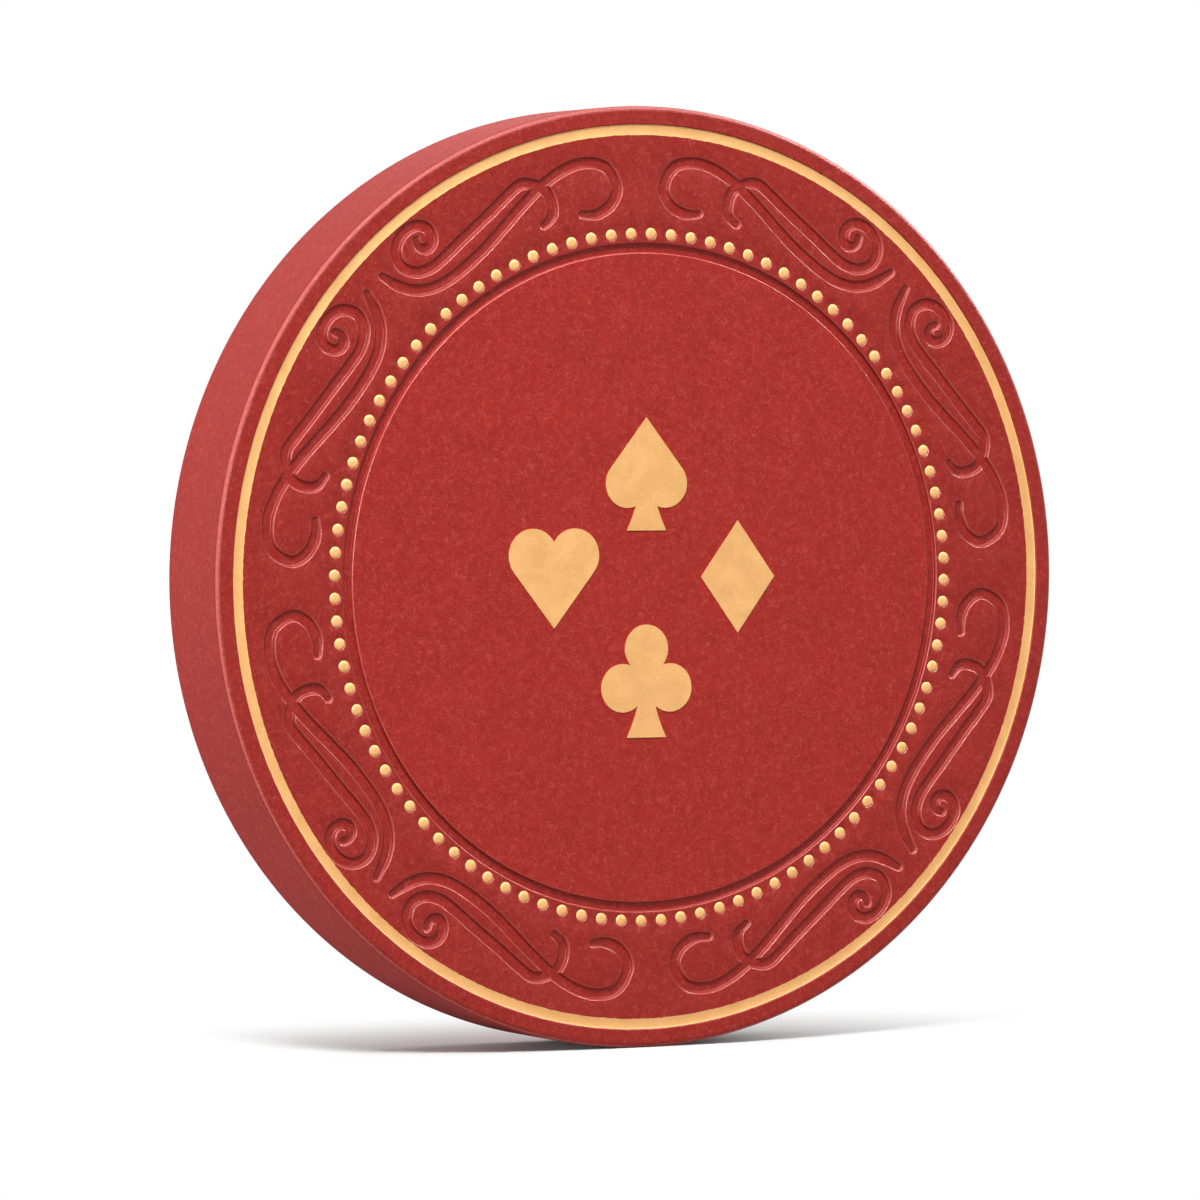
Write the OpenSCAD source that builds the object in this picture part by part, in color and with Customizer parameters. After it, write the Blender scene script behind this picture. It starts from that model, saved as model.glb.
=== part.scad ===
// Weighted poker chip, standing on its rim.
// The chip's axis lies along Y, its front face looks towards -Y, and the origin is on the floor
// under the middle of the rim. Lengths are in millimetres.

/* [Chip] */
// Diameter over the rim
chip_d = 40; // [38:0.5:44]
// Thickness over the two borders
chip_t = 5; // [4.4:0.1:7]
// Radius of the round between the rim and each face
edge_r = 0.25; // [0.1:0.05:0.5]
// Width of the plain border outside the gold ring
border_w = 0.8; // [0.6:0.05:1.2]
// Height of the border above the rest of the face, so that stacked chips touch only there
border_rise = 0.06; // [0.06:0.01:0.2]
// Radius of the round on the lips of the channel and the inlay
lip_r = 0.06; // [0.02:0.01:0.1]

/* [Gold ring] */
// Width of the gold ring
ring_w = 0.4; // [0.3:0.05:0.8]
// Depth of the groove that the ring is set into
ring_t = 0.3; // [0.2:0.05:0.6]
// How far the top of the ring is hollowed
ring_dish = 0.03; // [0.02:0.01:0.12]
// Gap on each side of the ring in its groove
ring_clear = 0.02; // [0.01:0.01:0.05]

/* [Beads] */
// Number of gold beads on each face
bead_count = 96; // [60:4:100]
// Diameter of a bead
bead_d = 0.5; // [0.3:0.05:0.7]
// Height of the beads above the face
bead_rise = 0.04; // [0.02:0.01:0.05]
// Height of a bead's domed top
bead_dome = 0.09; // [0.06:0.01:0.2]
// Depth of the socket that holds a bead
bead_seat = 0.3; // [0.2:0.05:0.5]
// Gap round a bead in its socket
bead_clear = 0.02; // [0.01:0.01:0.03]
// Land between the beads and the channel
bead_land = 0.13; // [0.08:0.01:0.4]

/* [Inlay] */
// Diameter of the round inlay in the middle of each face
inlay_d = 27.6; // [22:0.2:28.6]
// Thickness of the inlay
inlay_t = 0.6; // [0.4:0.05:0.8]
// Gap round the inlay in its pocket
inlay_clear = 0.03; // [0.01:0.01:0.1]
// Thickness of the adhesive film under the inlay
adhesive_t = 0.1; // [0.05:0.01:0.15]
// Width of the channel round the inlay
channel_w = 0.42; // [0.3:0.02:0.7]
// Depth of the channel
channel_depth = 0.2; // [0.1:0.02:0.3]

/* [Scrolls] */
// Width of an engraved stroke
scroll_w = 0.46; // [0.3:0.02:0.5]
// Depth of an engraved stroke
scroll_depth = 0.16; // [0.1:0.02:0.4]
// Length over which a stroke narrows towards its end
scroll_taper = 0.9; // [0.5:0.1:2]
// Turn of the scrolls and beads round the face, in degrees anticlockwise
face_turn = 0.9; // [-5:0.1:5]

/* [Emblem] */
// Height of a card-suit pip
pip_h = 4.8; // [3:0.1:6]
// Distance of each pip from the middle of the face
pip_reach = 4.4; // [4:0.1:6]
// Thickness of the gold foil
foil_t = 0.04; // [0.02:0.01:0.05]

/* [Core] */
// Wall between the steel slug and the rim
rim_wall = 4.5; // [4:0.1:7]
// Thickness of the steel slug
slug_t = 1.2; // [0.8:0.1:1.6]
// Number of keying holes in the slug
slug_holes = 6; // [3:1:8]
// Diameter of a keying hole
slug_hole_d = 3; // [2:0.1:4]
// Diameter of the circle that the keying holes lie on
slug_hole_circle_d = 18; // [14:0.5:19]
// Gap round the slug and round the pegs in its holes
slug_clear = 0.05; // [0.02:0.01:0.1]

/* [Shell joint] */
// Wall between the slug and the tongue
tongue_wall = 1; // [0.6:0.1:1.4]
// Thickness of the tongue on the front shell
tongue_w = 0.8; // [0.5:0.1:1]
// Height of the tongue
tongue_h = 0.6; // [0.3:0.1:0.8]
// Gap round the tongue in the rear shell's groove
tongue_clear = 0.04; // [0.02:0.01:0.06]

/* [Hidden] */
$fn = 180;

red = [0.66, 0.17, 0.17];
gold = [0.95, 0.75, 0.42];
steel = [0.62, 0.63, 0.65];
film = [0.9, 0.88, 0.8];

// Radii on a face, from the rim inwards
rim_r = chip_d / 2;
ring_out = rim_r - border_w;
ring_in = ring_out - ring_w;
inlay_r = inlay_d / 2;
channel_out = inlay_r + channel_w;
bead_circle_r = channel_out + bead_land + bead_d / 2;

// Heights above the middle plane of the chip
border_z = chip_t / 2;
face_z = border_z - border_rise;
ring_z = face_z - ring_t;
channel_z = face_z - channel_depth;
inlay_z = face_z - inlay_t;
pocket_z = inlay_z - adhesive_t;
slug_z = slug_t / 2;

// The slug, its pocket and pegs, and the joint between the shells
slug_d = chip_d - 2 * rim_wall;
slug_pocket_r = slug_d / 2 + slug_clear;
peg_r = slug_hole_d / 2 - slug_clear;
peg_root = 0.2;
tongue_in = slug_pocket_r + tongue_wall;
tongue_out = tongue_in + tongue_w;

// The band that the scrolls fill, between the beads and the gold ring
band_in = bead_circle_r + bead_d / 2;
band_w = ring_in - band_in;

// A scroll is drawn in the eighth of the face to the right of twelve o'clock, as points of
// [degrees clockwise from the top, share of the band from the beads outwards]. The first stroke
// starts in the open hook beside the top, crosses the second and runs out to the diagonal.
// The second starts in the small hook and ends in the volute.
quarters = 4;
hook_points = [
    [10.25, 0.21], [7.85, 0.184], [4.85, 0.285], [3.87, 0.42], [4.2, 0.532], [5.28, 0.663],
    [9.1, 0.748], [12.15, 0.712], [15.2, 0.632], [20.0, 0.47], [24.0, 0.342], [28.0, 0.248],
    [31.0, 0.21], [34.0, 0.195], [37.0, 0.215], [39.2, 0.271], [41.05, 0.368], [42.3, 0.5],
    [43.0, 0.635], [43.35, 0.725]
];
tail_points = [
    [17.15, 0.203], [15.25, 0.28], [14.85, 0.41], [15.15, 0.533], [16.1, 0.613], [18.7, 0.707],
    [21.0, 0.655], [24.15, 0.572], [27.5, 0.508], [30.85, 0.459], [34.15, 0.423], [36.85, 0.423],
    [39.1, 0.495], [40.3, 0.665], [39.5, 0.825], [37.0, 0.912], [34.8, 0.865], [34.0, 0.765],
    [34.3, 0.66], [35.3, 0.605], [36.35, 0.64], [36.6, 0.71], [36.35, 0.76]
];
stroke_steps = 3;
tip_share = 0.75;
cap_steps = 4;
// A stroke is never so wide that the turns of the volute would meet
widest_share = 0.14;
stroke_half = min(scroll_w, widest_share * band_w) / 2;

// Points on an arc of radius r round c, from angle a to angle b
arc_steps = 6;
function way(a) = [cos(a), sin(a)];
function arc(c, r, a, b) = [for (k = [0:arc_steps]) c + r * way(a + (b - a) * k / arc_steps)];

// A scroll's point in millimetres
function on_band(q) = (band_in + q[1] * band_w) * [sin(q[0]), cos(q[0])];

// A smooth curve through points: cubic pieces whose tangents weigh the chords on both sides
function chord(p, i) = norm(p[i + 1] - p[i]);
function slope(p, i) = (p[i + 1] - p[i]) / chord(p, i);
function mid_tangent(p, i) =
    (slope(p, i - 1) * chord(p, i) + slope(p, i) * chord(p, i - 1)) / (chord(p, i) + chord(p, i - 1));
function tangent(p, i) =
    i == 0 ? 1.5 * slope(p, 0) - 0.5 * mid_tangent(p, 1)
    : i == len(p) - 1 ? 1.5 * slope(p, i - 1) - 0.5 * mid_tangent(p, i - 1)
    : mid_tangent(p, i);
function on_piece(p, i, t) =
    (2 * t * t * t - 3 * t * t + 1) * p[i]
    + (t * t * t - 2 * t * t + t) * chord(p, i) * tangent(p, i)
    + (3 * t * t - 2 * t * t * t) * p[i + 1]
    + (t * t * t - t * t) * chord(p, i) * tangent(p, i + 1);
function curve(p) = [
    for (i = [0:len(p) - 2]) for (k = [0:stroke_steps - 1]) on_piece(p, i, k / stroke_steps),
    p[len(p) - 1]
];

// Distance run along a path up to each of its points
function last(p) = len(p) - 1;
function step_to(p, i) = norm(p[min(i + 1, last(p))] - p[i]);
function runs(p) = [for (i = 0, s = 0; i < len(p); s = s + step_to(p, i), i = i + 1) s];

// Direction of a path at a point, and half the stroke's width there
function unit(v) = v / norm(v);
function heading(p, i) = unit(p[min(i + 1, last(p))] - p[max(i - 1, 0)]);
function ease(t) = t * t * (3 - 2 * t);
function half_w(s, whole) =
    stroke_half * (tip_share + (1 - tip_share) * ease(min(1, min(s, whole - s) / scroll_taper)));
function left_of(d) = [-d[1], d[0]];

// Outline of a stroke along a path, with round ends
function cap(c, d, r) = [
    for (k = [1:cap_steps - 1])
        let (a = 180 * k / cap_steps)
            c + r * (sin(a) * d + cos(a) * left_of(d))
];
function outline(p) =
    let (
        s = runs(p),
        n = last(p),
        w = [for (i = [0:n]) half_w(s[i], s[n])],
        d = [for (i = [0:n]) heading(p, i)]
    )
    concat(
        [for (i = [0:n]) p[i] + w[i] * left_of(d[i])],
        cap(p[n], d[n], w[n]),
        [for (i = [n:-1:0]) p[i] - w[i] * left_of(d[i])],
        cap(p[0], -d[0], w[0])
    );

hook_path = curve([for (q = hook_points) on_band(q)]);
tail_path = curve([for (q = tail_points) on_band(q)]);

// Each piece of a face is made lying down, with the middle plane of the chip at z = 0.
// These two stand it up and turn it to its side of the chip.
module at_front() {
    translate([0, 0, rim_r])
        rotate([90, 0, 0])
            children();
}

module at_rear() {
    rotate([0, 0, 180])
        at_front()
            children();
}

// Places the child at each of the slug's keying holes, one of them at the top
module at_keys() {
    for (k = [0:slug_holes - 1])
        rotate([0, 0, 90 + k * 360 / slug_holes])
            translate([slug_hole_circle_d / 2, 0, 0])
                children();
}

// Places the child at each bead, with the quarters of the scrolls between two beads
module at_beads() {
    for (k = [0:bead_count - 1])
        rotate([0, 0, face_turn + (k + 0.5) * 360 / bead_count])
            translate([bead_circle_r, 0, face_z])
                children();
}

// Half section of a shell. The joint's points run along its inner face from the slug to the rim.
function shell_section(joint) = concat(
    [[0, slug_z], [slug_pocket_r, slug_z], [slug_pocket_r, 0]],
    joint,
    [[rim_r, 0]],
    arc([rim_r - edge_r, border_z - edge_r], edge_r, 0, 90),
    [[ring_out + ring_clear, border_z], [ring_out + ring_clear, ring_z]],
    [[ring_in - ring_clear, ring_z], [ring_in - ring_clear, face_z]],
    arc([channel_out + lip_r, face_z - lip_r], lip_r, 90, 180),
    [[channel_out, channel_z], [inlay_r + inlay_clear, channel_z]],
    [[inlay_r + inlay_clear, pocket_z], [0, pocket_z]]
);
tongue = [[tongue_in, 0], [tongue_in, -tongue_h], [tongue_out, -tongue_h], [tongue_out, 0]];
groove_in = tongue_in - tongue_clear;
groove_out = tongue_out + tongue_clear;
groove_z = tongue_h + tongue_clear;
groove = [[groove_in, 0], [groove_in, groove_z], [groove_out, groove_z], [groove_out, 0]];

// The strokes of all the scrolls, cut down from above the face
module scroll_cuts() {
    for (k = [0:quarters - 1])
        rotate([0, 0, face_turn + k * 360 / quarters])
            for (side = [0, 1])
                mirror([side, 0, 0])
                    translate([0, 0, face_z - scroll_depth])
                        linear_extrude(2 * scroll_depth)
                            union() {
                                polygon(outline(hook_path));
                                polygon(outline(tail_path));
                            }
}

module bead_sockets() {
    at_beads()
        translate([0, 0, -bead_seat])
            cylinder(d = bead_d + 2 * bead_clear, h = 2 * bead_seat, $fn = 24);
}

// A moulded half of the chip: rim, engraved face, pegs for the slug and sockets for the beads
module shell(joint) {
    difference() {
        union() {
            rotate_extrude()
                polygon(shell_section(joint));
            at_keys()
                cylinder(r = peg_r, h = slug_z + peg_root, $fn = 48);
        }
        scroll_cuts();
        bead_sockets();
    }
}

module inlay() {
    rotate_extrude()
        polygon(concat(
            [[0, inlay_z], [inlay_r, inlay_z]],
            arc([inlay_r - lip_r, face_z - lip_r], lip_r, 0, 90),
            [[0, face_z]]
        ));
}

module adhesive() {
    translate([0, 0, pocket_z])
        cylinder(r = inlay_r, h = adhesive_t);
}

// Ring whose top is hollowed between its two edges, which are level with the face
module gold_ring() {
    ring_mid = (ring_in + ring_out) / 2;
    hollow = [
        for (k = [arc_steps:-1:-arc_steps])
            let (x = k / arc_steps)
                [ring_mid + x * ring_w / 2, face_z - ring_dish * (1 - x * x)]
    ];
    rotate_extrude()
        polygon(concat([[ring_in, ring_z], [ring_out, ring_z]], hollow));
}

// Domed stud on a straight shank that fills its socket
module bead() {
    ball_r = (pow(bead_d / 2, 2) + pow(bead_dome, 2)) / (2 * bead_dome);
    spring = asin((ball_r - bead_dome) / ball_r);
    rotate_extrude($fn = 24)
        polygon(concat(
            [[0, -bead_seat], [bead_d / 2, -bead_seat]],
            arc([0, bead_rise - ball_r], ball_r, spring, 90)
        ));
}

module beads() {
    at_beads()
        bead();
}

// Two round lobes drawn down to a point, for the heart and, turned over, the spade
module lobes(h) {
    lobe_r = 0.27 * h;
    lobe_at = [0.235 * h, 0.23 * h];
    tip = [0, -0.5 * h];
    away = lobe_at - tip;
    lean = atan2(away[1], away[0]) - asin(lobe_r / norm(away));
    touch = tip + sqrt(away * away - lobe_r * lobe_r) * way(lean);
    for (side = [-1, 1])
        translate([side * lobe_at[0], lobe_at[1]])
            circle(lobe_r, $fn = 48);
    polygon([tip, touch, lobe_at, [-lobe_at[0], lobe_at[1]], [-touch[0], touch[1]]]);
}

// Flared foot of the spade and the club, with hollow sides
module foot(h) {
    neck = 0.045 * h;
    flare = 0.15 * h;
    foot_h = 0.6 * h;
    side = [
        for (k = [0:arc_steps])
            [neck + flare * pow(1 - k / arc_steps, 2), foot_h * k / arc_steps - h / 2]
    ];
    polygon(concat(side, [for (k = [arc_steps:-1:0]) [-side[k][0], side[k][1]]]));
}

// The heart is a little lower than the other pips, to look as large as they do
module heart(h) {
    heart_share = 0.88;
    lobes(heart_share * h);
}

// The spade's head ends at the top of the pip and leaves the rest of its height to the foot
module spade(h) {
    head_h = 0.8 * h;
    translate([0, (h - head_h) / 2])
        mirror([0, 1])
            lobes(head_h);
    foot(h);
}

module diamond(h) {
    across = 0.74 * h;
    polygon([[0, -h / 2], [across / 2, 0], [0, h / 2], [-across / 2, 0]]);
}

// Three leaves round a core that fills the gap between them
module club(h) {
    leaf_r = 0.215 * h;
    leaf_x = 0.235 * h;
    leaf_y = -0.06 * h;
    core_r = 0.17 * h;
    core_y = 0.05 * h;
    for (at = [[0, h / 2 - leaf_r], [leaf_x, leaf_y], [-leaf_x, leaf_y]])
        translate(at)
            circle(leaf_r, $fn = 48);
    translate([0, core_y])
        circle(core_r, $fn = 48);
    foot(h);
}

// A foil pip on the inlay, moved out from the middle of the face along a direction
module foil(aside) {
    translate(concat(pip_reach * aside, face_z))
        linear_extrude(foil_t)
            children();
}
up = [0, 1];
down = [0, -1];
left = [-1, 0];
right = [1, 0];

module front_shell() { color(red) at_front() shell(tongue); }
module rear_shell() { color(red) at_rear() shell(groove); }

module steel_slug() {
    color(steel)
        at_front()
            difference() {
                cylinder(d = slug_d, h = slug_t, center = true);
                at_keys()
                    cylinder(d = slug_hole_d, h = 2 * slug_t, center = true, $fn = 48);
            }
}

module front_inlay() { color(red) at_front() inlay(); }
module rear_inlay() { color(red) at_rear() inlay(); }
module front_adhesive() { color(film) at_front() adhesive(); }
module rear_adhesive() { color(film) at_rear() adhesive(); }
module front_gold_ring() { color(gold) at_front() gold_ring(); }
module rear_gold_ring() { color(gold) at_rear() gold_ring(); }
module front_beads() { color(gold) at_front() beads(); }
module rear_beads() { color(gold) at_rear() beads(); }
module front_spade() { color(gold) at_front() foil(up) spade(pip_h); }
module front_heart() { color(gold) at_front() foil(left) heart(pip_h); }
module front_diamond() { color(gold) at_front() foil(right) diamond(pip_h); }
module front_club() { color(gold) at_front() foil(down) club(pip_h); }
module rear_spade() { color(gold) at_rear() foil(up) spade(pip_h); }
module rear_heart() { color(gold) at_rear() foil(left) heart(pip_h); }
module rear_diamond() { color(gold) at_rear() foil(right) diamond(pip_h); }
module rear_club() { color(gold) at_rear() foil(down) club(pip_h); }

front_shell();
rear_shell();
steel_slug();
front_inlay();
rear_inlay();
front_adhesive();
rear_adhesive();
front_gold_ring();
rear_gold_ring();
front_beads();
rear_beads();
front_spade();
front_heart();
front_diamond();
front_club();
rear_spade();
rear_heart();
rear_diamond();
rear_club();
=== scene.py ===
"""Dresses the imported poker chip: engraved red shells, gold ring, gold beads, inlay and foil pips.

A face is worked out lying down, as (u, v, w): u to the right, v up and w out of the face, with the
middle plane of the chip at w = 0. Lengths are millimetres until a mesh is written in metres.
"""
import math

import bmesh
import bpy
import numpy as np
from mathutils import Matrix, Vector
from mathutils.geometry import delaunay_2d_cdt


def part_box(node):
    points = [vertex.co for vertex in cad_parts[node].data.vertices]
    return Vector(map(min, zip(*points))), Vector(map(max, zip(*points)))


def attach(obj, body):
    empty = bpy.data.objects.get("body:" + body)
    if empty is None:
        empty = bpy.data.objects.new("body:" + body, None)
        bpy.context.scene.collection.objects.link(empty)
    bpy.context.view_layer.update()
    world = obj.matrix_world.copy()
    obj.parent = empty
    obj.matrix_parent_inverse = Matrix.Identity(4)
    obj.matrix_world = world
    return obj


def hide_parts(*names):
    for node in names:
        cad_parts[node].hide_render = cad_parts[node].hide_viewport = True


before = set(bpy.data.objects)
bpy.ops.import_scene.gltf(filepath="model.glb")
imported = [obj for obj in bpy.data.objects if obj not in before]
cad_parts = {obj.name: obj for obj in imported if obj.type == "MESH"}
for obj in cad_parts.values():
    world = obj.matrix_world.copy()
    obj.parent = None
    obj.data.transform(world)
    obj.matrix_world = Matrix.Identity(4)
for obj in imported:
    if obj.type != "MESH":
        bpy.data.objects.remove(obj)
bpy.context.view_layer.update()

MM = 0.001


def node_box(node):
    """A CAD node's lowest and highest corner in millimetres."""
    low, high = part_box(node)
    return np.array(low) / MM, np.array(high) / MM


# Sizes that the frame gives
shell_low, shell_high = node_box("front_shell")
ring_low, ring_high = node_box("front_gold_ring")
bead_low, bead_high = node_box("front_beads")
_, inlay_high = node_box("front_inlay")
_, film_high = node_box("front_adhesive")
_, slug_high = node_box("steel_slug")
RIM_R = (shell_high[0] - shell_low[0]) / 2
BORDER_W = -shell_low[1]
FACE_W = -ring_low[1]
RING_FLOOR_W = -ring_high[1]
RING_OUT = ring_high[0]
BEAD_REACH = bead_high[0]
BEAD_TOP_W = -bead_low[1]
INLAY_R = inlay_high[0]
INLAY_BACK_W = -inlay_high[1]
POCKET_W = -film_high[1]
SLUG_R = slug_high[0]
SLUG_W = slug_high[1]

# Sizes that repeat the part's own values
RING_BREADTH = 0.4
RING_CLEAR = 0.02
EDGE_R = 0.25
BEAD_COUNT = 96
BEAD_R = 0.25
BEAD_SEAT = 0.3
BEAD_LAND = 0.13
CHANNEL_DEPTH = 0.2
INLAY_CLEAR = 0.03
SCROLL_HALF = 0.23
SCROLL_DEPTH = 0.16
SCROLL_TAPER = 0.9
TIP_SHARE = 0.75
SLUG_CLEAR = 0.05
KEY_COUNT = 6
KEY_R = 1.5
KEY_CIRCLE_R = 9.0
TONGUE_WALL = 1.0
TONGUE_BREADTH = 0.8
TONGUE_H = 0.6
TONGUE_CLEAR = 0.04

RING_IN = RING_OUT - RING_BREADTH
GROOVE_IN = RING_IN - RING_CLEAR
GROOVE_OUT = RING_OUT + RING_CLEAR
BEAD_CIRCLE_R = BEAD_REACH - BEAD_R
CHANNEL_OUT = BEAD_CIRCLE_R - BEAD_R - BEAD_LAND
CHANNEL_FLOOR_W = FACE_W - CHANNEL_DEPTH
BAND_IN = BEAD_REACH
BAND_BREADTH = RING_IN - BAND_IN
SLUG_POCKET_R = SLUG_R + SLUG_CLEAR
PEG_R = KEY_R - SLUG_CLEAR

# Roundings of the dressed pieces, and how far from a rounding the next circle of points lies
GROOVE_LIP_R = 0.05
CHANNEL_LIP_R = 0.06
CHANNEL_FOOT_R = 0.05
INLAY_LIP_R = 0.07
BESIDE_LIP = 0.03
BESIDE_EDGE = 0.04

# The dressed channel's wall is a little inside the part's, and the inlay nearly fills its pocket
CHANNEL_WALL_R = CHANNEL_OUT - 0.01
INLAY_FILL = 0.9

# Foil of the gold ring: its hollow, how far it laps over the groove's lips, how much its two edges
# wander by a sum of waves, and the heights over the face of the folds at those edges
RING_DISH = 0.02
LAP_IN, LAP_IN_FOLD, LAP_OUT = 0.03, 0.01, 0.012
WANDER_IN, WANDER_OUT = 0.006, 0.003
WAVES = 40
WAVE_COUNTS = (20, 420)
FOLD_IN_W = (-0.02, 0.002, 0.001)
FOLD_OUT_W = (0.012, -0.01)

# Beads: height of the dome, its circles as shares of the radius, and seeded differences
BEAD_DOME = 0.06
BEAD_CIRCLES = np.array([1.0, 1.0, 0.93, 0.8, 0.6, 0.33, 0.0])
BEAD_BREADTHS = (0.95, 1.0)
BEAD_LOWERED = (0.0, 0.01)

# The scroll in the eighth of the face to the right of twelve o'clock, as points of
# (degrees clockwise from the top, share of the band from the beads outwards)
HOOK_POINTS = [
    (10.25, 0.21), (7.85, 0.184), (4.85, 0.285), (3.87, 0.42), (4.2, 0.532), (5.28, 0.663),
    (9.1, 0.748), (12.15, 0.712), (15.2, 0.632), (20.0, 0.47), (24.0, 0.342), (28.0, 0.248),
    (31.0, 0.21), (34.0, 0.195), (37.0, 0.215), (39.2, 0.271), (41.05, 0.368), (42.3, 0.5),
    (43.0, 0.635), (43.35, 0.725),
]
TAIL_POINTS = [
    (17.15, 0.203), (15.25, 0.28), (14.85, 0.41), (15.15, 0.533), (16.1, 0.613), (18.7, 0.707),
    (21.0, 0.655), (24.15, 0.572), (27.5, 0.508), (30.85, 0.459), (34.15, 0.423), (36.85, 0.423),
    (39.1, 0.495), (40.3, 0.665), (39.5, 0.825), (37.0, 0.912), (34.8, 0.865), (34.0, 0.765),
    (34.3, 0.66), (35.3, 0.605), (36.35, 0.64), (36.6, 0.71), (36.35, 0.76),
]

# How finely the surfaces are divided
SECTORS = 8
SECTOR_COLUMNS = 96
COLUMNS = SECTORS * SECTOR_COLUMNS
RING_COLUMNS = 1536
RING_ROWS = 11
INLAY_COLUMNS = 384
PEG_SIDES = 48
BEAD_SIDES = 16
DIMPLE_SIDES = 24
PIECE_STEPS = 24
STROKE_STEP = 0.16
CAP_STEPS = 10
LIP_STEPS = 5
EDGE_STEPS = 10
SIDE_STEPS = 14

# How near points are taken as one: in the flat, on the band's edge, and in the mesh (in metres)
SAME_POINT = 1e-5
SAME_EDGE = 1e-4
WELD = 2e-7

# Faces that meet at more than this many degrees keep a sharp edge
SHARP_ANGLE = 40

# Scrolls and beads are turned anticlockwise by two columns, as near as they come to the part's turn
TURN_COLUMNS = 2
FACE_TURN = TURN_COLUMNS * 360 / COLUMNS

# Section of an engraved stroke: distance outside its wall, and share of its depth there.
# A negative distance is inside and narrows with the stroke towards its ends.
STROKE_OUT = np.array([
    -0.23, -0.1, -0.07, -0.048, -0.03, -0.014, 0.002, 0.018, 0.034, 0.052, 0.075,
])
STROKE_SINK = np.array([1.0, 1.0, 0.98, 0.91, 0.78, 0.6, 0.4, 0.23, 0.1, 0.03, 0.0])
STROKE_LEVELS = STROKE_OUT[1:]
TIP_SINK = 0.7

# The dimple that a bead sits in: distance from the bead's middle, and depth there
DIMPLE_R = np.array([0.0, 0.25, 0.262, 0.272, 0.285])
DIMPLE_SINK = np.array([0.03, 0.03, 0.02, 0.007, 0.0])

BEAD_STEP = 360 / BEAD_COUNT
SECTOR_BEADS = BEAD_COUNT // SECTORS
BAND_MARGIN = 0.08
BAND_EDGE_IN = CHANNEL_OUT + BAND_MARGIN
BAND_EDGE_OUT = GROOVE_IN


def bearing(degrees, radius):
    """Point on the face at a clockwise angle from the top: radius times (sine, cosine)."""
    a = np.radians(degrees)
    return np.stack([radius * np.sin(a), radius * np.cos(a)], axis=-1)


def around(count):
    """Angles in degrees that divide a full turn evenly."""
    return np.arange(count) * 360 / count


def on_band(points):
    """Scroll points in millimetres: the share of the band sets the radius."""
    p = np.array(points)
    return bearing(p[:, 0], BAND_IN + p[:, 1] * BAND_BREADTH)


def ease(t):
    """Smooth step from 0 to 1: t squared times (3 - 2t)."""
    return t * t * (3 - 2 * t)


def smooth_path(points):
    """Cubic pieces through points, by Hermite weights over each chord.

    A tangent inside is the mean of the slopes on both sides, each weighed by the other chord's
    length. One at an end is 1.5 times the end slope less half the next tangent.
    """
    chord = np.linalg.norm(np.diff(points, axis=0), axis=1)[:, None]
    slope = np.diff(points, axis=0) / chord
    inside = (slope[:-1] * chord[1:] + slope[1:] * chord[:-1]) / (chord[1:] + chord[:-1])
    first = 1.5 * slope[:1] - 0.5 * inside[:1]
    last = 1.5 * slope[-1:] - 0.5 * inside[-1:]
    tangent = np.concatenate([first, inside, last])
    t = (np.arange(PIECE_STEPS) / PIECE_STEPS)[None, :, None]
    run = (
        (2 * t**3 - 3 * t**2 + 1) * points[:-1, None]
        + (t**3 - 2 * t**2 + t) * (chord * tangent[:-1])[:, None]
        + (3 * t**2 - 2 * t**3) * points[1:, None]
        + (t**3 - t**2) * (chord * tangent[1:])[:, None]
    )
    return np.concatenate([run.reshape(-1, 2), points[-1:]])


def run_of(path):
    """Distance run along a path up to each of its points."""
    return np.concatenate([[0], np.cumsum(np.linalg.norm(np.diff(path, axis=0), axis=1))])


class Stroke:
    """An engraved stroke: evenly spaced points of its path, with half width and depth at each."""

    def __init__(self, path):
        run = run_of(path)
        whole = run[-1]
        at = np.linspace(0, whole, int(round(whole / STROKE_STEP)) + 1)
        self.points = np.stack([np.interp(at, run, path[:, k]) for k in (0, 1)], axis=1)
        swell = ease(np.minimum(1, np.minimum(at, whole - at) / SCROLL_TAPER))
        self.half = SCROLL_HALF * (TIP_SHARE + (1 - TIP_SHARE) * swell)
        self.sink = SCROLL_DEPTH * (TIP_SINK + (1 - TIP_SINK) * swell)
        ahead = np.gradient(self.points, axis=0)
        self.ahead = ahead / np.linalg.norm(ahead, axis=1)[:, None]
        self.left = np.stack([-self.ahead[:, 1], self.ahead[:, 0]], axis=1)

    def contour(self, level):
        """Closed line at one distance from the wall, down one side, round the tip and back."""
        inside = self.half * (1 + level / SCROLL_HALF)
        reach = (inside if level < 0 else self.half + level)[:, None]
        a = np.linspace(0, np.pi, CAP_STEPS + 1)[1:-1, None]
        end = self.points[-1] + reach[-1] * (np.sin(a) * self.ahead[-1] + np.cos(a) * self.left[-1])
        start = self.points[0] - reach[0] * (np.sin(a) * self.ahead[0] + np.cos(a) * self.left[0])
        return np.concatenate([
            self.points + reach * self.left, end, (self.points - reach * self.left)[::-1], start,
        ])

    def depth_at(self, points):
        """Depth of the stroke at points: the deepest that any piece of its path asks for.

        A point's distance to a piece, less the half width there, is looked up in the section.
        """
        a, b = self.points[:-1], self.points[1:]
        along = b - a
        t = ((points[:, None] - a) * along).sum(2) / (along * along).sum(1)
        t = np.clip(t, 0, 1)
        away = np.linalg.norm(points[:, None] - (a + t[:, :, None] * along), axis=2)
        half = self.half[:-1] + t * np.diff(self.half)
        sink = self.sink[:-1] + t * np.diff(self.sink)
        out = np.where(away < half, SCROLL_HALF * (away / half - 1), away - half)
        return (sink * np.interp(out, STROKE_OUT, STROKE_SINK)).max(axis=1)


def loop_edges(count, start=0):
    """Edges of a closed line of points, by index."""
    i = np.arange(count)
    return np.stack([i, (i + 1) % count], axis=1) + start


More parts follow.
